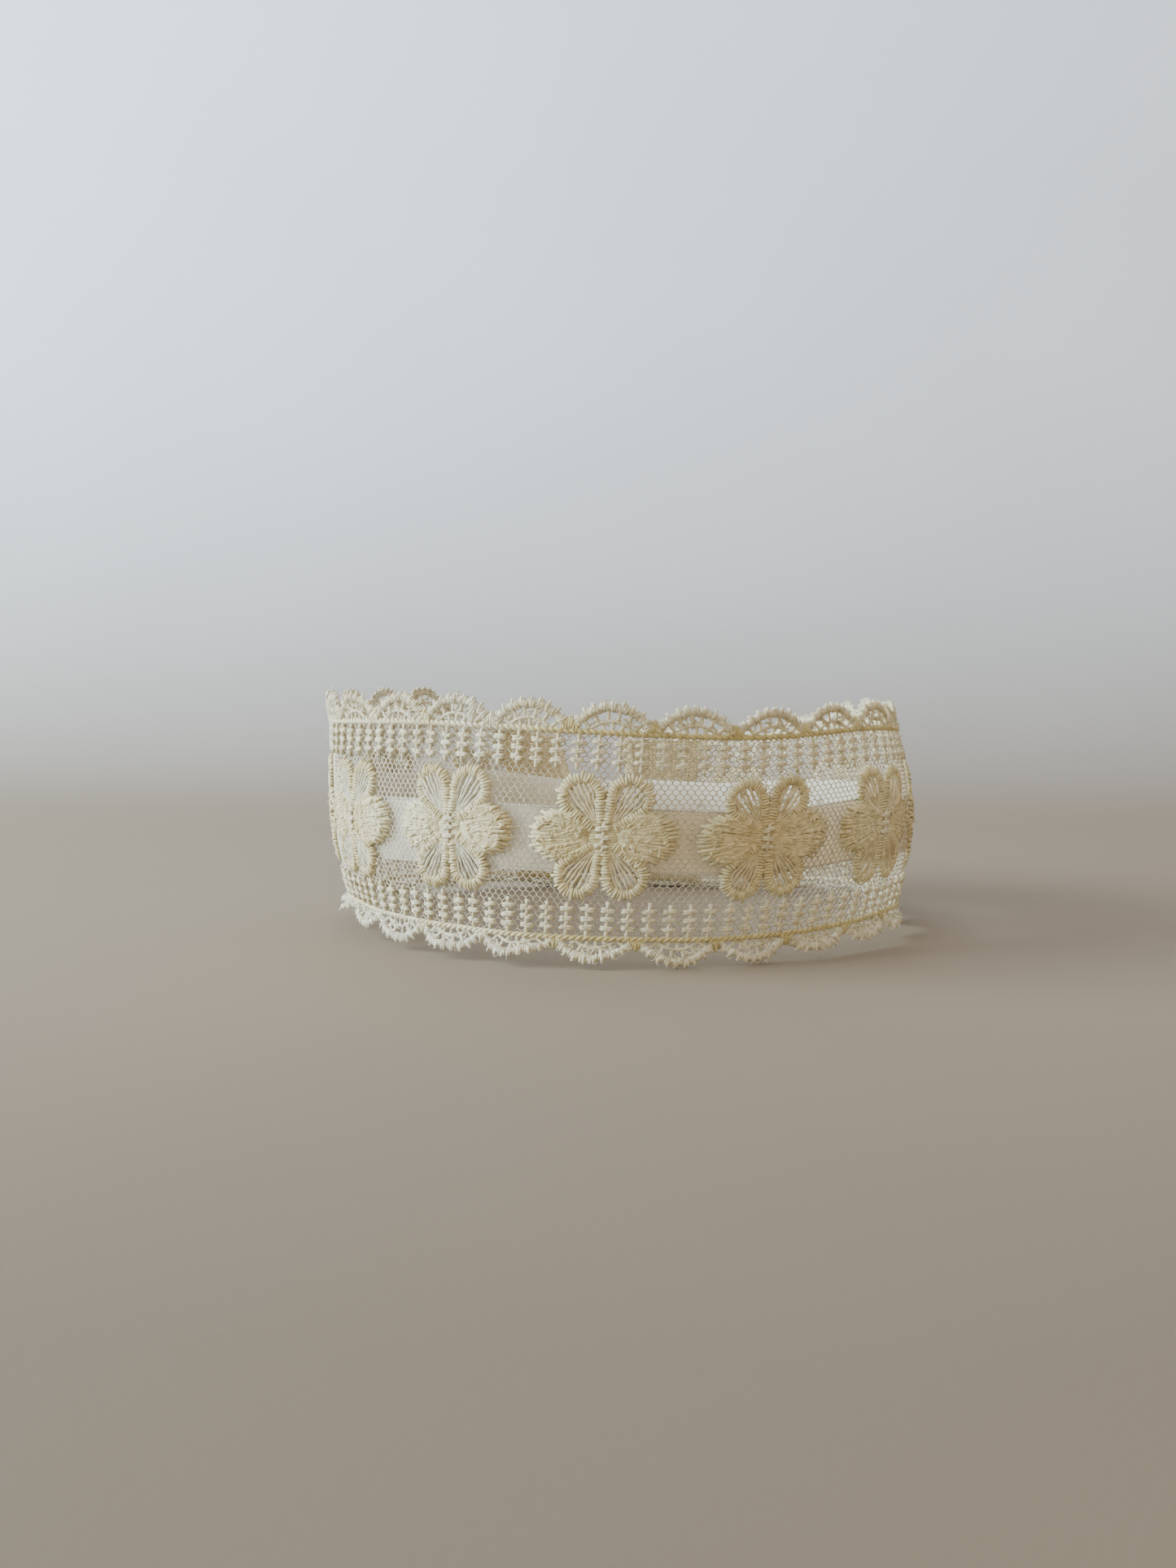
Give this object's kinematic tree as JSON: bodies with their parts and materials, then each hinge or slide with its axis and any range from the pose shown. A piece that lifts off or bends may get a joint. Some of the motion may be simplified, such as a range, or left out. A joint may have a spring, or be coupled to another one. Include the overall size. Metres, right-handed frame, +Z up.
{
  "type": "lace band",
  "caption": "Cream floral lace band with scalloped edges and a sheer ribbon behind the flowers, closed into an upright loop whose lace ends stop short of each other at the back.",
  "frame": {"origin": "on the surface the band stands on, under the middle of the loop", "axes": "+Z up, along the loop's axis; -Y towards the front flower; +Y towards the gap between the lace ends; +X to the right as seen from the front"},
  "size_m": [0.1082, 0.1078, 0.045],
  "materials": {
    "net": "fine hexagonal net of matt ecru yarn",
    "embroidery": "ivory satin stitch, slightly lustrous",
    "cord": "twisted ecru cord",
    "sheer_ribbon": "sheer plain-woven ribbon with denser edges",
    "sewing_thread": "fine ivory sewing thread"
  },
  "bodies": {
    "root": {"ribbon": "sheer_ribbon", "ribbon_seam_stitches": "sewing_thread", "ribbon_tacks": "sewing_thread", "net_ground": "net", "left_end_binding": "embroidery", "right_end_binding": "embroidery", "upper_cord": "cord", "lower_cord": "cord", "upper_scallops": "embroidery", "lower_scallops": "embroidery", "upper_ladders": "embroidery", "lower_ladders": "embroidery", "flower_centres": "embroidery", "flower_01": "embroidery", "flower_02": "embroidery", "flower_03": "embroidery", "flower_04": "embroidery", "flower_05": "embroidery", "flower_06": "embroidery", "flower_07": "embroidery", "flower_08": "embroidery", "flower_09": "embroidery", "flower_10": "embroidery", "flower_11": "embroidery"}
  },
  "joints": []
}
